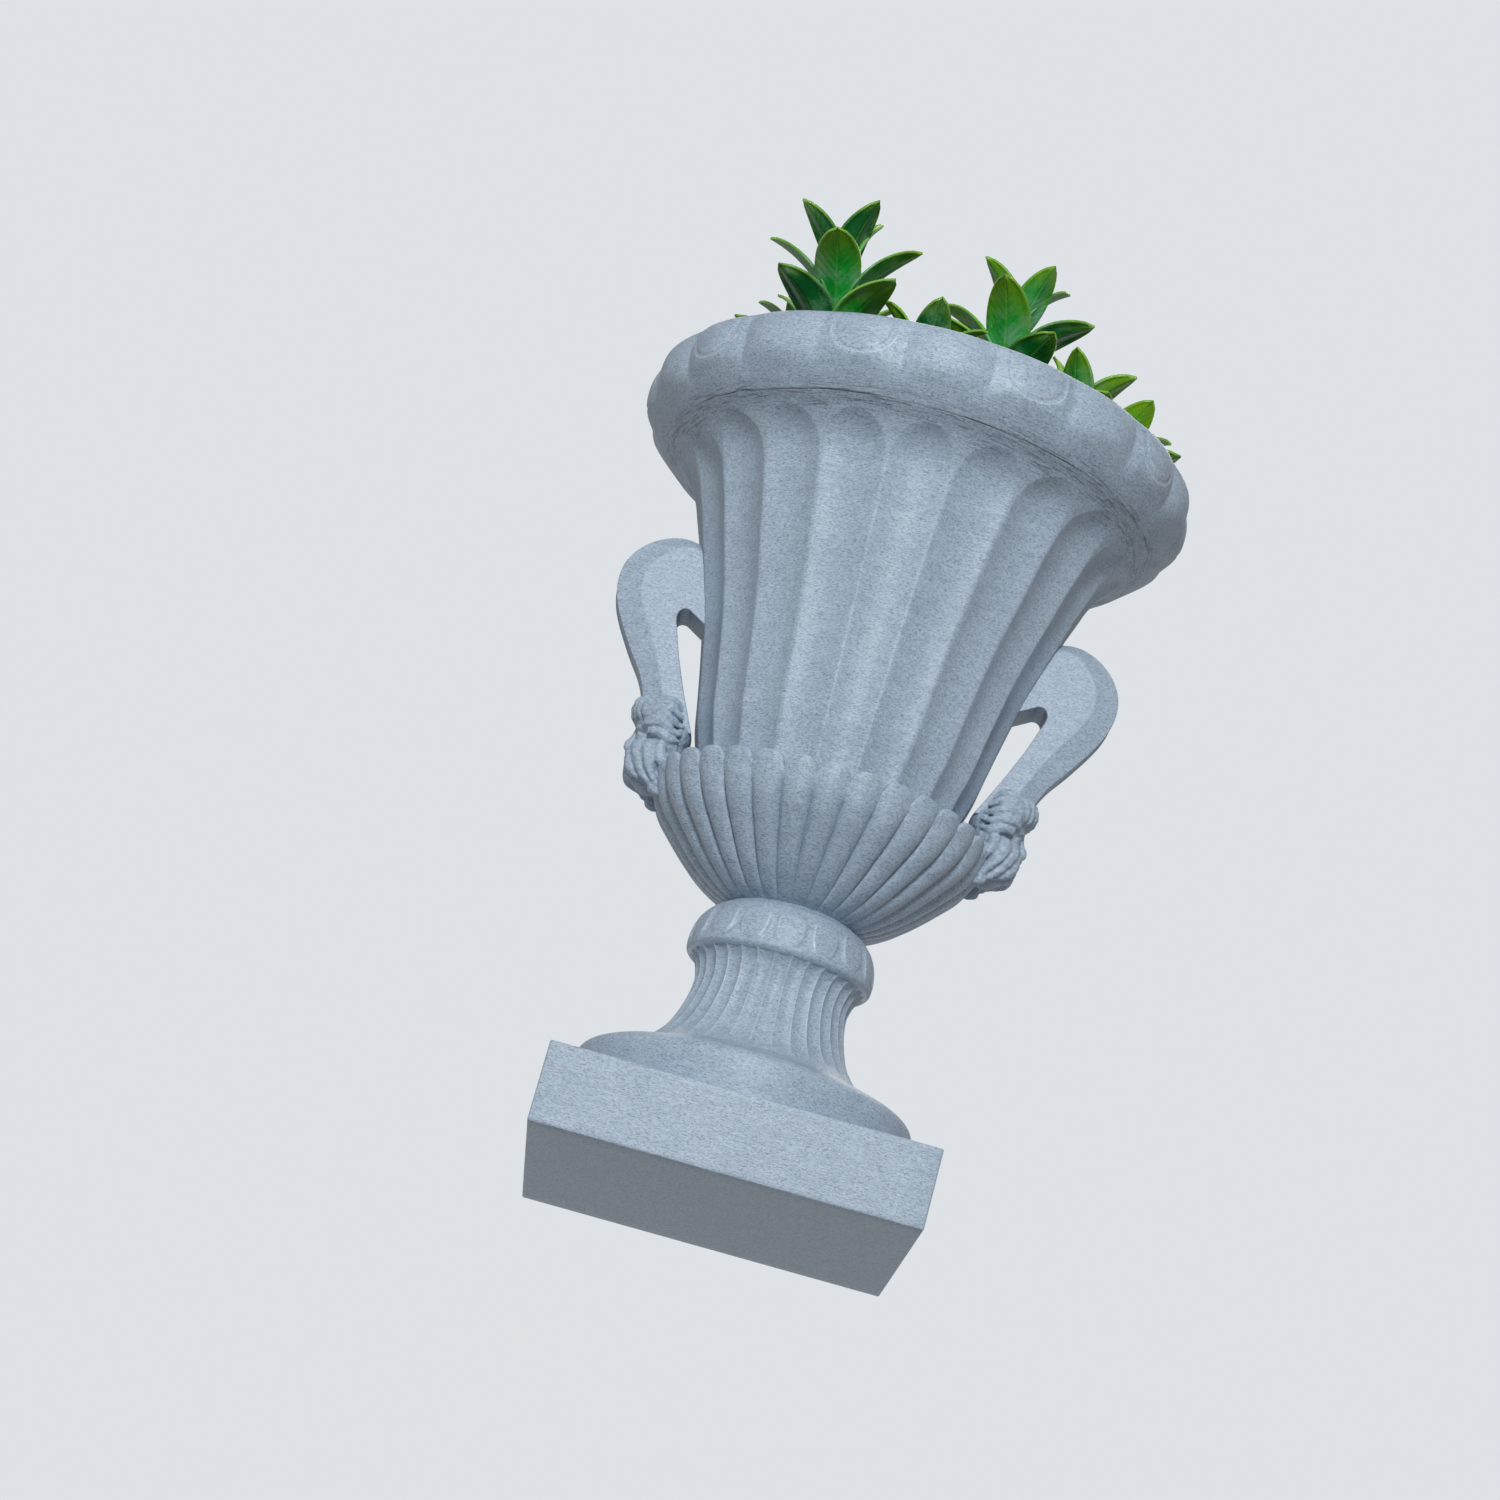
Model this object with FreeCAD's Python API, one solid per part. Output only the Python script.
import FreeCAD, Part
import math
import os

Vector = FreeCAD.Vector
os.makedirs("parts", exist_ok=True)

# A footed garden urn on a square plinth, with two side handles that spring from bearded masks,
# planted with artificial leafy sprigs. Origin: middle of the plinth's underside, +Z up, handles on X.

# Fits, in mm
glue_gap = 0.15
loose_gap = 0.3
overrun = 1.0

# Plinth
plinth_width = 105.0
plinth_height = 22.0
plinth_edge = 0.7
plinth_socket_radius = 36.0
plinth_socket_depth = 5.0

# Foot, a plain round moulding between plinth and stem
foot_radius = 46.8
foot_base_radius = 46.0
foot_height = 17.0
foot_socket_radius = 15.0
foot_socket_depth = 9.0

# Stem, fluted, with its waist near the top
stem_base_radius = 31.5
stem_waist_radius = 21.7
stem_top_radius = 23.4
stem_height = 30.0
stem_flute_depth = 0.6
stem_socket_radius = 11.0
stem_socket_depth = 9.0
reed_count = 32

# Collar, an egg moulding that narrows to a neck
collar_radius = 26.3
collar_height = 15.0
collar_lip = 1.2
collar_lobe_depth = 0.5
neck_radius = 18.4
neck_pin_radius = 9.0
neck_pin_length = 8.0

# Cup, a bowl of convex lobes that holds the body
cup_radius = 47.5
cup_height = 33.0
cup_lobe_depth = 2.9
cup_seat_height = 28.0
cup_bore_radius = 38.0

# Body, a flaring fluted bowl
body_base_radius = 36.2
body_top_radius = 71.7
body_height = 101.0
body_wall = 2.4
body_floor = 6.0
body_spigot_radius = 33.0
body_spigot_length = 8.0
flute_depth = 2.6
flute_count = 20
arch_height = 16.0
band_height = 3.2

# Rim, a cone under a ring of twenty lobes
rim_cone_radius = 78.2
rim_cone_height = 6.8
rim_lobe_radius = 80.2
rim_height = 22.3
rim_lobe_depth = 1.7
lip_radius = 74.2
lip_width = 2.6
tongue_width = 2.0
tongue_height = 2.4
tongue_inset = 1.6

# Handles
handle_reach = 27.0
handle_rise = 53.0
handle_width = 14.0
handle_crest_width = 8.0
handle_tenon_width = 8.0
handle_tenon_height = 6.0
handle_tenon_depth = 1.4
handle_foot_tenon = 5.0

# Masks
mask_width = 24.0
mask_height = 30.0
mask_depth = 15.0
mask_rise = 17.4
hair_roll_radius = 3.6
lock_radius = 2.7

# Foam block that holds the sprigs
foam_drop = 13.0
foam_height = 32.0
stem_hole_depth = 25.0

# Sprigs, each cut to its own length and leaning outward
planting_radius = 40.0
sprig_length = 70.0
sprig_stem_radius = 1.5
barb_radius = 2.5
barb_height = 2.6
arrow_length = 6.0
lowest_whorl = 22.0
hub_radius = 3.0
hub_height = 2.0
leaf_length = 31.0
leaf_width = 14.0
leaf_thickness = 0.9
leaves_per_whorl = 4

# Heights where the pieces meet
foot_z = plinth_height
stem_z = foot_z + foot_height
collar_z = stem_z + stem_height
cup_z = collar_z + collar_height
body_z = cup_z + cup_seat_height
body_top_z = body_z + body_height
rim_top_z = body_top_z + rim_height
foam_top_z = body_top_z - foam_drop
foam_z = foam_top_z - foam_height


def polar(radius, degrees, height):
    turn = math.radians(degrees)
    return Vector(radius * math.sin(turn), -radius * math.cos(turn), height)


def curve_through(points):
    spline = Part.BSplineCurve()
    spline.interpolate(points)
    return spline.toShape()


def lines_through(points):
    return [Part.makeLine(a, b) for a, b in zip(points, points[1:])]


def profile_points(profile):
    return [Vector(radius, 0, height) for radius, height in profile]


def turned(curve, corners):
    """Solid of revolution: a smooth outer curve, closed by straight runs through the corners."""
    outer = profile_points(curve)
    rest = profile_points(corners)
    edges = [curve_through(outer)] + lines_through([outer[-1]] + rest + [outer[0]])
    face = Part.Face(Part.Wire(edges))
    return face.revolve(Vector(0, 0, 0), Vector(0, 0, 1), 360)


def turned_polygon(corners):
    points = profile_points(corners)
    face = Part.Face(Part.makePolygon(points + points[:1]))
    return face.revolve(Vector(0, 0, 0), Vector(0, 0, 1), 360)


def disc(radius, bottom, top):
    return Part.makeCylinder(radius, top - bottom, Vector(0, 0, bottom))


def blend(profile, height):
    """Radius of a profile at a height, by straight lines between its points."""
    for (r0, z0), (r1, z1) in zip(profile, profile[1:]):
        if height <= z1:
            return r0 + (r1 - r0) * (height - z0) / (z1 - z0)
    return profile[-1][0]


def scalloped_ring(height, edge_radius, middle_radius, count):
    """Closed wire of equal arcs: concave where the middle is lower than the edge, else convex."""
    pitch = 360.0 / count
    arcs = []
    for index in range(count):
        middle = index * pitch
        start = polar(edge_radius, middle - pitch / 2, height)
        crown = polar(middle_radius, middle, height)
        end = polar(edge_radius, middle + pitch / 2, height)
        arcs.append(Part.Arc(start, crown, end).toShape())
    return Part.Wire(arcs)


def fluted_ring(height, radius, depth, open_share):
    """Closed wire of flutes and the lands between them; open_share is the flute's part of its pitch."""
    pitch = 360.0 / flute_count
    arcs = []
    for index in range(flute_count):
        middle = index * pitch
        reach = pitch / 2 * open_share
        start = polar(radius, middle - reach, height)
        crown = polar(radius - depth, middle, height)
        end = polar(radius, middle + reach, height)
        land = polar(radius, middle + pitch / 2, height)
        following = polar(radius, middle + pitch - reach, height)
        arcs.append(Part.Arc(start, crown, end).toShape())
        arcs.append(Part.Arc(end, land, following).toShape())
    return Part.Wire(arcs)


def make_plinth():
    block = Part.makeBox(plinth_width, plinth_width, plinth_height,
                         Vector(-plinth_width / 2, -plinth_width / 2, 0))
    block = block.makeChamfer(plinth_edge, block.Edges)
    socket = disc(plinth_socket_radius, plinth_height - plinth_socket_depth, plinth_height + overrun)
    return block.cut(socket)


# How far the foot swells out, against height; the fourth point is the widest
foot_shares = [(0.0, 0.0), (0.35, 0.22), (0.9, 0.42), (1.0, 0.55), (0.88, 0.74), (0.45, 0.9), (0.0, 1.0)]


def make_foot():
    # The torus is widest at mid height; its top rolls in to the stem.
    outer = []
    for swell_share, height_share in foot_shares:
        low = foot_base_radius if height_share < foot_shares[3][1] else stem_base_radius
        outer.append((low + (foot_radius - low) * swell_share, foot_z + foot_height * height_share))
    foot = turned(outer, [(0, stem_z), (0, foot_z)])
    spigot = disc(plinth_socket_radius - glue_gap, foot_z - plinth_socket_depth, foot_z)
    socket = disc(foot_socket_radius, stem_z - foot_socket_depth, stem_z + overrun)
    return foot.fuse(spigot).cut(socket)


# Share of the way from waist to base radius, then from waist to top radius, against height
stem_flare_shares = [(1.0, 0.0), (0.67, 0.13), (0.38, 0.27), (0.16, 0.43), (0.04, 0.6), (0.0, 0.73)]
stem_top_shares = [(0.32, 0.83), (1.0, 1.0)]


def stem_sections():
    sections = []
    for flare_share, height_share in stem_flare_shares:
        radius = stem_waist_radius + (stem_base_radius - stem_waist_radius) * flare_share
        sections.append((radius, stem_z + stem_height * height_share))
    for top_share, height_share in stem_top_shares:
        radius = stem_waist_radius + (stem_top_radius - stem_waist_radius) * top_share
        sections.append((radius, stem_z + stem_height * height_share))
    return sections


def make_stem():
    rings = [scalloped_ring(z, r, r - stem_flute_depth, reed_count) for r, z in stem_sections()]
    stem = Part.makeLoft(rings, True, False)
    spigot = disc(foot_socket_radius - glue_gap, stem_z - foot_socket_depth, stem_z)
    socket = disc(stem_socket_radius, collar_z - stem_socket_depth, collar_z + overrun)
    return stem.fuse(spigot).cut(socket)


collar_shares = [(0.94, 0.03), (1.0, 0.1), (1.0, 0.27), (0.92, 0.47), (0.77, 0.67), (0.42, 0.87), (0.0, 1.0)]


def make_collar():
    rings = []
    for swell_share, height_share in collar_shares:
        crown = neck_radius + (collar_radius - neck_radius) * swell_share
        valley = crown - collar_lobe_depth * swell_share
        height = collar_z + collar_height * height_share
        rings.append(scalloped_ring(height, valley, crown, flute_count))
    collar = Part.makeLoft(rings, True, False)
    foot_ring = disc(collar_radius - collar_lip, collar_z, collar_z + collar_height * collar_shares[0][1])
    spigot = disc(stem_socket_radius - glue_gap, collar_z - stem_socket_depth, collar_z)
    pin = disc(neck_pin_radius - glue_gap, cup_z, cup_z + neck_pin_length)
    return collar.fuse([foot_ring, spigot, pin])


cup_crown_shares = [(0.0, 0.0), (0.2, 0.06), (0.35, 0.15), (0.48, 0.24), (0.62, 0.36), (0.75, 0.48),
                    (0.87, 0.61), (0.96, 0.73), (1.0, 0.85), (0.985, 0.92), (0.91, 0.97), (0.78, 1.0)]
cup_valley_shares = [0.0, 0.45, 0.7, 0.85, 1.0, 1.0, 1.0, 1.0, 1.0, 1.1, 1.2, 0.9]


def cup_profile():
    profile = []
    for swell_share, height_share in cup_crown_shares:
        radius = neck_radius + (cup_radius - neck_radius) * swell_share
        profile.append((radius, cup_z + cup_height * height_share))
    return profile


def make_cup():
    rings = []
    for (crown, height), depth_share in zip(cup_profile(), cup_valley_shares):
        valley = crown - cup_lobe_depth * depth_share
        rings.append(scalloped_ring(height, valley, crown, reed_count))
    cup = Part.makeLoft(rings, True, False)
    socket = disc(body_spigot_radius + glue_gap, body_z - body_spigot_length, body_z)
    bore = disc(cup_bore_radius, body_z, cup_z + cup_height + overrun)
    pin_hole = disc(neck_pin_radius, cup_z - overrun, cup_z + neck_pin_length)
    return cup.cut([socket.fuse(bore), pin_hole])


body_shares = [(0.0, 0.0), (0.065, 0.11), (0.125, 0.2), (0.185, 0.295), (0.245, 0.395), (0.31, 0.495),
               (0.385, 0.594), (0.47, 0.69), (0.54, 0.77), (0.6, 0.832), (0.655, 0.88),
               (0.725, 0.921), (0.845, 0.96), (1.0, 1.0)]


def body_profile():
    profile = []
    for flare_share, height_share in body_shares:
        radius = body_base_radius + (body_top_radius - body_base_radius) * flare_share
        profile.append((radius, body_z + body_height * height_share))
    return profile


# A flute's part of its pitch, and the heights of an arch's sections
flute_open_share = 0.985
arch_shares = [0.0, 0.25, 0.5, 0.7, 0.85, 0.94, 0.985]


def body_outside():
    """The fluted outside: open flutes up to the arches, then round arch tops under a plain band."""
    profile = body_profile()
    arch_top = body_top_z - band_height
    arch_foot = arch_top - arch_height
    rings = []
    for radius, height in profile:
        if height < arch_foot:
            rings.append(fluted_ring(height, radius, flute_depth, flute_open_share))
    for share in arch_shares:
        height = arch_foot + arch_height * share
        narrowing = math.sqrt(1 - share ** 2)
        open_share = flute_open_share * narrowing
        rings.append(fluted_ring(height, blend(profile, height), flute_depth * narrowing, open_share))
    rings.append(fluted_ring(body_top_z, body_top_radius, 0, open_share))
    return Part.makeLoft(rings, True, False)


def bowl_profile():
    """Inside wall, from the floor to the top face."""
    wall = body_wall + flute_depth
    floor_z = body_z + body_floor
    inside = [(blend(body_profile(), floor_z) - wall, floor_z)]
    for radius, height in body_profile():
        if height > floor_z:
            inside.append((radius - wall, height))
    return inside


def tongue_ring(gap):
    middle = body_top_radius - tongue_inset - tongue_width / 2
    outer = disc(middle + tongue_width / 2 + gap, body_top_z - tongue_height - gap, body_top_z)
    return outer.cut(disc(middle - tongue_width / 2 - gap, body_top_z - tongue_height - gap, body_top_z))


def make_body(outside):
    inside = bowl_profile()
    above = body_top_z + overrun
    hollow = turned_polygon(inside + [(inside[-1][0], above), (0, above), (0, inside[0][1])])
    spigot = disc(body_spigot_radius, body_z - body_spigot_length, body_z)
    tenons = [handle_tenon(side, glue_gap) for side in (1, -1)]
    return outside.cut([hollow, tongue_ring(glue_gap)] + tenons).fuse(spigot)


# The rim's lobes: swell, height and depth of the grooves; the third point is the widest
rim_lobe_shares = [(0.0, 0.0, 0.5), (0.7, 0.1, 0.9), (1.0, 0.35, 1.0),
                   (0.82, 0.62, 1.0), (0.4, 0.85, 0.7), (0.0, 1.0, 0.0)]


def make_rim():
    cone_top = body_top_z + rim_cone_height
    inner_foot = bowl_profile()[-1][0]
    rings = []
    for swell_share, height_share, depth_share in rim_lobe_shares:
        base = rim_cone_radius if height_share < rim_lobe_shares[2][1] else lip_radius
        crown = base + (rim_lobe_radius - base) * swell_share
        height = cone_top + (rim_top_z - cone_top) * height_share
        rings.append(scalloped_ring(height, crown - rim_lobe_depth * depth_share, crown, flute_count))
    lobes = Part.makeLoft(rings, True, False)
    cone_crown = rim_cone_radius - rim_lobe_depth * rim_lobe_shares[0][2]
    cone = turned_polygon([(0, body_top_z), (body_top_radius, body_top_z),
                           (cone_crown, cone_top), (0, cone_top)])
    below = body_top_z - overrun
    above = rim_top_z + overrun
    inner_lip = lip_radius - lip_width
    mouth = turned_polygon([(0, below), (inner_foot, below), (inner_foot, body_top_z),
                            (inner_lip, rim_top_z), (inner_lip, above), (0, above)])
    return lobes.fuse(cone).cut(mouth).fuse(tongue_ring(0))


# Handle outlines, as shares of its reach from the body and its rise from the mask
handle_ridge_shares = [(0.0, 0.89), (0.27, 0.95), (0.54, 0.9), (0.7, 0.8), (0.75, 0.69), (0.69, 0.58),
                       (0.58, 0.47), (0.43, 0.335), (0.28, 0.18), (0.14, 0.0)]
handle_crest_shares = [(0.0, 0.93), (0.27, 1.0), (0.5, 0.995), (0.73, 0.95), (0.88, 0.87), (0.975, 0.79),
                       (1.0, 0.69), (0.96, 0.58), (0.87, 0.465), (0.67, 0.31), (0.47, 0.155), (0.32, 0.0)]
handle_inside_shares = [(-0.1, 0.0), (-0.01, 0.125), (0.16, 0.33), (0.3, 0.545), (0.2, 0.6), (-0.1, 0.5)]


def handle_root():
    """Where the handle's outline starts: just inside the body's wall, at the mask's top."""
    arm_z = handle_foot_z() + handle_rise * handle_ridge_shares[4][1]
    return blend(body_profile(), arm_z) - flute_depth


def handle_foot_z():
    return cup_z + cup_height + mask_rise - hair_roll_radius


def handle_outline(outer_shares, across):
    root = handle_root()
    foot = handle_foot_z()
    outer = [Vector(root + handle_reach * out, across, foot + handle_rise * up) for out, up in outer_shares]
    inner = []
    for out, up in handle_inside_shares:
        inner.append(Vector(root + handle_reach * out, across, foot + handle_rise * up))
    edges = [curve_through(outer)] + lines_through([outer[-1]] + inner + [outer[0]])
    return Part.Wire(edges)


def handle_tenon(side, gap):
    """A tenon into the wall, which never reaches through it: its depth is counted at its upper end."""
    top = handle_foot_z() + handle_rise * handle_ridge_shares[3][1]
    root = blend(body_profile(), top) - flute_depth
    middle = top - handle_tenon_height / 2
    length = handle_tenon_depth + gap + flute_depth
    width = handle_tenon_width + 2 * gap
    height = handle_tenon_height + 2 * gap
    corner = Vector(root - handle_tenon_depth - gap, -width / 2, middle - height / 2)
    box = Part.makeBox(length, width, height, corner)
    return box if side > 0 else mirrored(box)


def handle_foot(gap):
    """The square peg under the handle's lower end, which stands in the mask's hair."""
    end_x = handle_root() + handle_reach * handle_ridge_shares[-1][0]
    size = handle_crest_width / 2
    return Part.makeBox(size + 2 * gap, size + 2 * gap, handle_foot_tenon,
                        Vector(end_x - size - gap, -size / 2 - gap, handle_foot_z() - handle_foot_tenon))


def mirrored(shape):
    return shape.mirror(Vector(0, 0, 0), Vector(1, 0, 0))


def make_handle(outside):
    half = handle_width / 2
    crest = handle_crest_width / 2
    outlines = [handle_outline(handle_ridge_shares, -half), handle_outline(handle_crest_shares, -crest),
                handle_outline(handle_crest_shares, crest), handle_outline(handle_ridge_shares, half)]
    band = Part.makeLoft(outlines, True, True)
    return band.cut(outside).fuse([handle_tenon(1, 0), handle_foot(0)])


def capsule(start, end, radius):
    """A rounded rod between two points, such as a lock of hair."""
    run = end.sub(start)
    low = Vector(0, 0, -radius)
    high = Vector(0, 0, run.Length + radius)
    shoulder = radius * math.sqrt(0.5)
    foot = Part.Arc(low, Vector(shoulder, 0, -shoulder), Vector(radius, 0, 0)).toShape()
    side = Part.makeLine(Vector(radius, 0, 0), Vector(radius, 0, run.Length))
    brow = Vector(shoulder, 0, run.Length + shoulder)
    head = Part.Arc(Vector(radius, 0, run.Length), brow, high).toShape()
    half = Part.Face(Part.Wire([foot, side, head, Part.makeLine(high, low)]))
    rod = half.revolve(Vector(0, 0, 0), Vector(0, 0, 1), 360)
    rod.Placement = FreeCAD.Placement(start, FreeCAD.Rotation(Vector(0, 0, 1), run))
    return rod


# The head with its beard: half width against height, from the beard's end up, as shares
head_shares = [(0.0, 0.0), (0.45, 0.06), (0.72, 0.2), (0.93, 0.4),
               (1.0, 0.62), (0.86, 0.85), (0.6, 0.94), (0.0, 1.0)]
head_radius_share = 0.7
roll_reach_share = 0.27
# The nose: its height on the mask, its thickness and its slope, by the thickness of a lock
nose_height_share = 0.58
nose_radius_share = 0.6
nose_slope_share = 0.4
# The side locks: how far down the mask each one starts, and where its front end lies on the head
lock_drop_shares = [0.3, 0.52, 0.74]
lock_front_share = 0.5
lock_side_share = 0.72


def mask_base_z():
    return cup_z + cup_height + mask_rise - mask_height


def make_head():
    radius = mask_depth * head_radius_share
    head = turned([(radius * across, mask_base_z() + mask_height * up) for across, up in head_shares], [])
    head.translate(Vector(cup_radius, 0, 0))
    return head


def make_nose():
    radius = lock_radius * nose_radius_share
    tip_x = cup_radius + mask_depth * head_radius_share - radius / 2
    tip_z = mask_base_z() + mask_height * nose_height_share
    bridge = Vector(tip_x, 0, tip_z + lock_radius)
    return capsule(bridge, Vector(tip_x + lock_radius * nose_slope_share, 0, tip_z), radius)


def make_lock(side, drop_share):
    radius = mask_depth * head_radius_share
    height = mask_base_z() + mask_height * (1 - drop_share)
    front = Vector(cup_radius + radius * lock_front_share, side * radius * lock_side_share, height)
    back = Vector(cup_radius - mask_depth / 2, side * (mask_width / 2 - lock_radius), height + lock_radius)
    return capsule(front, back, lock_radius)


def mask_clearance():
    """The room that the cup and the body take up behind the mask."""
    wall = [(0, cup_z)] + [(radius + loose_gap, height) for radius, height in cup_profile()]
    for radius, height in body_profile():
        if height > cup_z + cup_height:
            wall.append((radius + loose_gap, height))
    return turned_polygon(wall + [(0, body_top_z)])


def make_mask(handle, cup):
    """A plain bearded head that faces +X, with a rolled fringe, side locks and a full beard."""
    roll_z = handle_foot_z()
    roll_x = cup_radius + mask_depth * head_radius_share * head_shares[5][0] - hair_roll_radius / 2
    roll_y = mask_width * roll_reach_share
    back_x = cup_radius - mask_depth / 2
    roll = capsule(Vector(roll_x, -roll_y, roll_z), Vector(roll_x, roll_y, roll_z), hair_roll_radius)
    pieces = [roll, make_nose()]
    for side in (-1, 1):
        for drop_share in lock_drop_shares:
            pieces.append(make_lock(side, drop_share))
    crown = Part.makeBox(roll_x - back_x, handle_width, hair_roll_radius * 2,
                         Vector(back_x, -handle_width / 2, roll_z - hair_roll_radius * 2))
    mask = make_head().fuse(pieces).fuse(crown)
    above_arm = Part.makeBox(roll_x, handle_width, body_height, Vector(0, -handle_width / 2, roll_z))
    return mask.cut([mask_clearance(), above_arm, cup]).cut([handle, handle_foot(glue_gap)])


def make_foam(holes):
    """The plug's side follows the bowl's inside wall, a loose gap away."""
    bowl = bowl_profile()
    heights = [foam_z] + [height for _, height in bowl if foam_z < height < foam_top_z] + [foam_top_z]
    side = [(blend(bowl, height) - loose_gap, height) for height in heights]
    block = turned_polygon([(0, foam_z)] + side + [(0, foam_top_z)])
    return block.cut(holes)


# Leaf stations: along the leaf, half width, height of the arched midrib, each as a share
leaf_shares = [(0.0, 0.22, 0.0), (0.12, 0.6, 0.034), (0.3, 0.92, 0.064), (0.5, 0.99, 0.062),
               (0.7, 0.81, 0.025), (0.87, 0.47, -0.036), (1.0, 0.04, -0.1)]
leaf_fold_share = 0.4


def make_leaf(length, width):
    """A blade along +X, folded up along its midrib; it arches up and its tip turns down."""
    sections = []
    for along_share, width_share, arch_share in leaf_shares:
        x = length * along_share
        z = length * arch_share
        half = width / 2 * width_share
        lift = half * leaf_fold_share
        corners = [Vector(x, -half, z + lift), Vector(x, 0, z + leaf_thickness / 2),
                   Vector(x, half, z + lift), Vector(x, 0, z - leaf_thickness / 2)]
        sections.append(Part.makePolygon(corners + corners[:1]))
    return Part.makeLoft(sections, True, True)


# The whorls of a sprig from its end down: distance from the end as a share of the sprig's length,
# leaf length and leaf width as shares, and the leaves' angle above the level in degrees
whorl_shares = [(0.17, 0.84, 0.78, 64.0), (0.32, 1.0, 1.0, 50.0), (0.475, 1.0, 1.0, 46.0),
                (0.63, 0.85, 0.9, 52.0)]


def make_whorl(size_share, width_share, spread):
    """One moulded ring of leaves on its hub; spread is the leaves' angle above the level."""
    hub = Part.makeCylinder(hub_radius, hub_height)
    leaf = make_leaf(leaf_length * size_share, leaf_width * width_share)
    leaf.rotate(Vector(0, 0, 0), Vector(0, 1, 0), -spread)
    leaf.translate(Vector(sprig_stem_radius, 0, hub_height / 2))
    leaves = []
    for index in range(leaves_per_whorl):
        blade = leaf.copy()
        blade.rotate(Vector(0, 0, 0), Vector(0, 0, 1), index * 360.0 / leaves_per_whorl)
        leaves.append(blade)
    bore = disc(sprig_stem_radius + glue_gap / 2, -overrun, leaf_length)
    flat = Part.makeCylinder(leaf_length, leaf_length, Vector(0, 0, -leaf_length))
    return hub.fuse(leaves).cut([bore, flat])


# Each sprig: distance from the middle as a share of the planting radius, azimuth and outward lean in
# degrees, length above the foam as a share, and its turn about its own stem in degrees
sprig_shares = [
    (1.0, 2.0, 15.0, 0.76, 12.0),
    (1.0, 50.0, 8.0, 0.78, 25.0),
    (1.0, 88.0, 10.0, 0.78, 80.0),
    (0.95, 145.0, 13.0, 0.88, -35.0),
    (0.88, 190.0, 7.0, 0.77, 59.0),
    (0.99, 229.0, 14.0, 0.98, 80.0),
    (0.95, 261.0, 7.0, 0.62, 13.0),
    (1.0, 319.0, 15.0, 0.65, 11.0),
    (0.56, 22.0, 5.0, 0.74, -35.0),
    (0.38, 100.0, 6.0, 0.81, 30.0),
    (0.38, 220.0, 1.0, 0.69, 55.0),
    (0.57, 312.0, 2.0, 1.05, 71.0)]


def sprig_whorls(length):
    """Height and place in the table of each whorl that a sprig of this length keeps above the foam."""
    heights = [length - sprig_length * whorl[0] for whorl in whorl_shares]
    return [(height, row) for row, height in enumerate(heights) if height >= lowest_whorl]


def make_sprig_stem(length):
    pieces = []
    for height, _ in sprig_whorls(length):
        foot = Vector(0, 0, height - barb_height)
        pieces.append(Part.makeCone(sprig_stem_radius, barb_radius, barb_height, foot))
    end = Vector(0, 0, length)
    pieces.append(Part.makeCone(sprig_stem_radius, sprig_stem_radius / 4, arrow_length, end))
    return disc(sprig_stem_radius, -stem_hole_depth, length).fuse(pieces)


def make_sprig_leaves(length, whorls):
    """Every second whorl is turned so that its leaves stand between those above."""
    rings = []
    for height, row in sprig_whorls(length):
        ring = whorls[row].copy()
        ring.rotate(Vector(0, 0, 0), Vector(0, 0, 1), row * 180.0 / leaves_per_whorl)
        ring.translate(Vector(0, 0, height))
        rings.append(ring)
    return Part.Compound(rings)


def planted(shape, place):
    """A sprig piece turned about its stem, leaned outward, and moved to its place in the foam."""
    radius_share, azimuth, lean, _, turn = place
    copy = shape.copy()
    copy.rotate(Vector(0, 0, 0), Vector(0, 0, 1), turn)
    copy.rotate(Vector(0, 0, 0), Vector(0, 1, 0), lean)
    copy.translate(Vector(planting_radius * radius_share, 0, foam_top_z))
    copy.rotate(Vector(0, 0, 0), Vector(0, 0, 1), azimuth)
    return copy


def build():
    outside = body_outside()
    handle = make_handle(outside)
    cup = make_cup()
    mask = make_mask(handle, cup)
    nodes = {
        "plinth": make_plinth(),
        "foot": make_foot(),
        "stem": make_stem(),
        "collar": make_collar(),
        "cup": cup,
        "body": make_body(outside),
        "rim": make_rim(),
        "handle_right": handle,
        "handle_left": mirrored(handle),
        "mask_right": mask,
        "mask_left": mirrored(mask),
    }
    hole = disc(sprig_stem_radius + glue_gap / 2, -stem_hole_depth, foam_drop)
    holes = []
    whorls = [make_whorl(size, width, spread) for _, size, width, spread in whorl_shares]
    for number, place in enumerate(sprig_shares, 1):
        length = sprig_length * place[3]
        nodes["sprig_%02d_stem" % number] = planted(make_sprig_stem(length), place)
        nodes["sprig_%02d_leaves" % number] = planted(make_sprig_leaves(length, whorls), place)
        holes.append(planted(hole, place))
    nodes["foam_block"] = make_foam(holes)
    return nodes


for name, shape in build().items():
    box = shape.BoundBox
    print("%-18s solids %d valid %s volume %.0f z %.1f to %.1f reach %.1f" % (
        name, len(shape.Solids), shape.isValid(), shape.Volume, box.ZMin, box.ZMax, box.XMax))
    shape.exportStep("parts/%s.step" % name)
